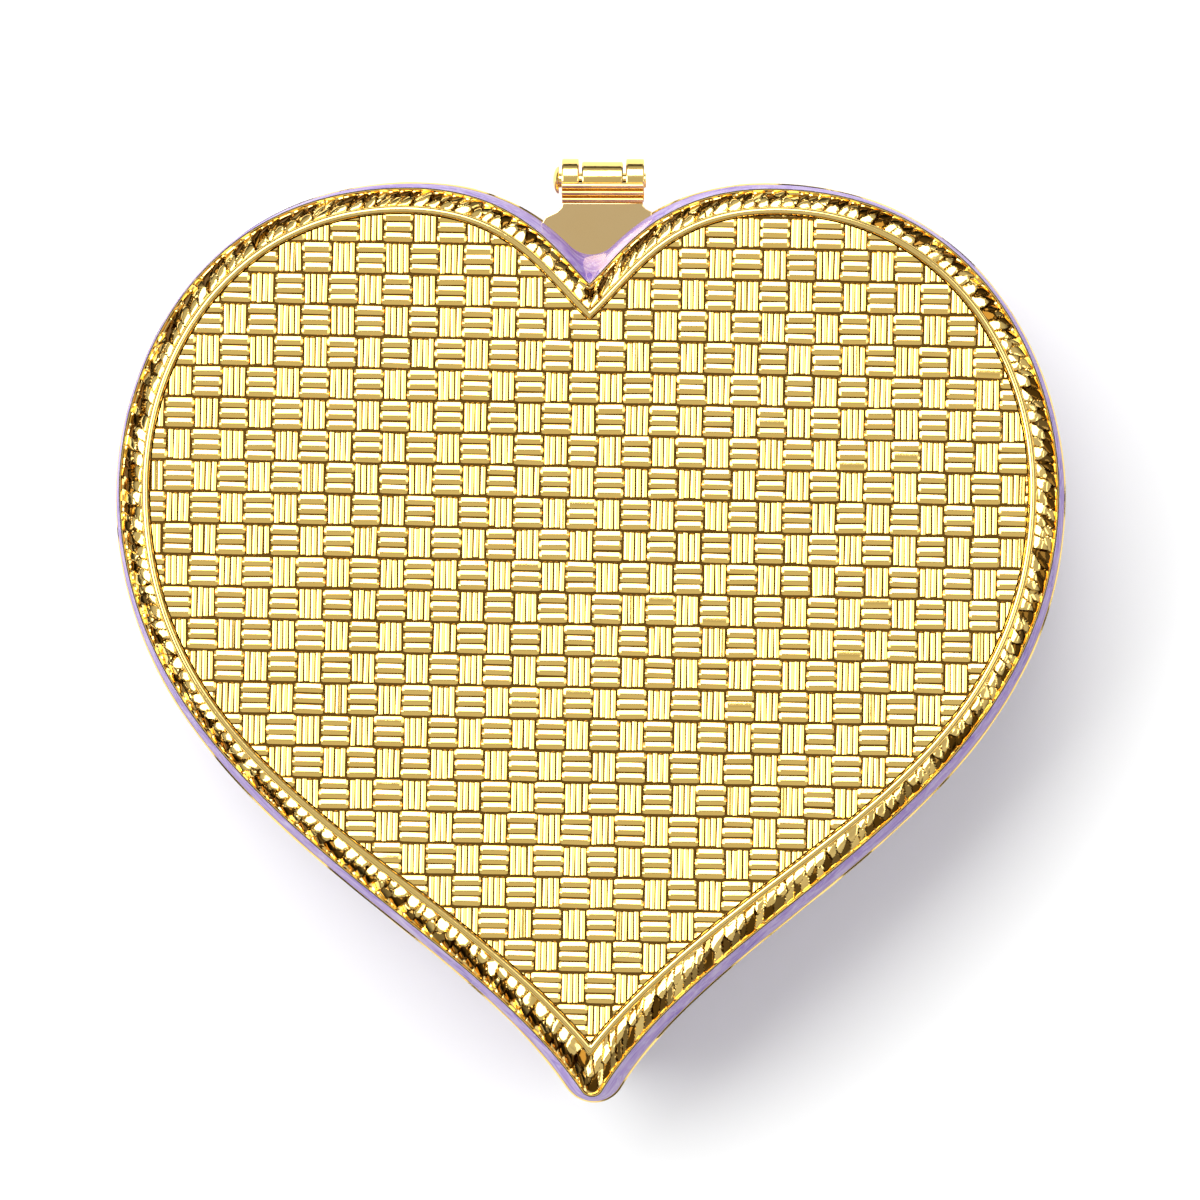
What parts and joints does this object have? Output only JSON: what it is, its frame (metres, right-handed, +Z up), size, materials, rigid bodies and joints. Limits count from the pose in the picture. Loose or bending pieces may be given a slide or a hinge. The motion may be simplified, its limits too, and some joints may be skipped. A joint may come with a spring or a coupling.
{
  "type": "heart trinket box",
  "caption": "Hinged heart-shaped trinket box: gilt metal lid and base with flaring lavender enamel walls, a hammered border and a basket-weave face.",
  "frame": {"origin": "middle of the flat underside, on the heart's axis, halfway between the lid's lobe tops and its tip", "axes": "+Z up through the lid, +Y towards the notch and the hinge, +X to the right seen from above"},
  "size_m": [0.0788, 0.0783, 0.0273],
  "materials": {
    "enamelled_metal": "glossy pearly lavender enamel on the walls, polished gilt rims",
    "gilt_metal": "polished gold plate, hammered on the border, lavender enamel on the walls",
    "gilt_plate": "satin gold plate, stamped with a basket weave"
  },
  "bodies": {
    "box_base": {"base": "enamelled_metal", "hinge_pin": "gilt_metal"},
    "box_lid": {"lid": "gilt_metal", "face_plate": "gilt_plate"}
  },
  "joints": [
    {"name": "lid_hinge", "type": "hinge", "parent": "box_base", "child": "box_lid", "pos_m": [0.00095, 0.0385, 0.01375], "axis": [-1, 0, 0], "range_deg": [0, 110]}
  ]
}
